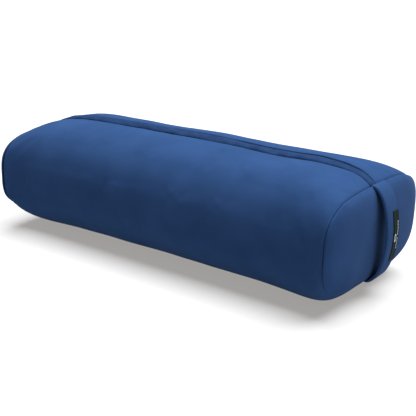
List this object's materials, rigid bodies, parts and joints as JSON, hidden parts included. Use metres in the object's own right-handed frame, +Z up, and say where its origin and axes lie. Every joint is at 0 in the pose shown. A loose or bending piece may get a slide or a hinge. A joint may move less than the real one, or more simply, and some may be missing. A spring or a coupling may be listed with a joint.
{
  "type": "rectangular bolster pillow",
  "caption": "Long rectangular bolster pillow: zipped smooth fabric cover, crowned ends with a strap handle on each, foam core with wadding in a cotton lining.",
  "frame": {"origin": "on the floor, under the middle of the bolster", "axes": "+X along the bolster towards the end whose handle carries the label, +Y across it, +Z up; the zip lies along the crest"},
  "size_m": [0.7, 0.2958, 0.1963],
  "materials": {
    "cover_fabric": "smooth brushed microfibre upholstery cloth, soft satin sheen",
    "zip_tape": "woven polyester tape",
    "zip_coil": "moulded nylon coil",
    "slider_metal": "enamelled zinc casting",
    "stop_metal": "stamped, satin",
    "label": "woven damask label, dark green-black",
    "liner_cotton": "unbleached plain-weave cotton",
    "wadding": "needled polyester wadding",
    "foam": "open-cell polyurethane foam"
  },
  "bodies": {
    "bolster": {"body_panel": "cover_fabric", "zip_lap": "cover_fabric", "end_panel_front": "cover_fabric", "end_panel_rear": "cover_fabric", "handle_front": "cover_fabric", "handle_rear": "cover_fabric", "woven_label": "label", "zip_tape_left": "zip_tape", "zip_tape_right": "zip_tape", "zip_coil_left": "zip_coil", "zip_coil_right": "zip_coil", "top_stop_left": "stop_metal", "top_stop_right": "stop_metal", "bottom_stop": "stop_metal", "inner_liner": "liner_cotton", "liner_end_front": "liner_cotton", "liner_end_rear": "liner_cotton", "batting_wrap": "wadding", "batting_pad_front": "wadding", "batting_pad_rear": "wadding", "foam_slab_1": "foam", "foam_slab_2": "foam", "foam_slab_3": "foam"},
    "slider": {"zip_slider": "slider_metal"},
    "pull": {"zip_pull": "slider_metal"}
  },
  "joints": [
    {"name": "zip_run", "type": "slide", "parent": "bolster", "child": "slider", "axis": [1, 0, 0], "range_m": [0, 0.474]},
    {"name": "pull_swing", "type": "hinge", "parent": "slider", "child": "pull", "pos_m": [-0.238, -0.006, 0.18949], "axis": [0, -1, 0], "range_deg": [0, 170], "deforming": ["zip_lap"]}
  ]
}
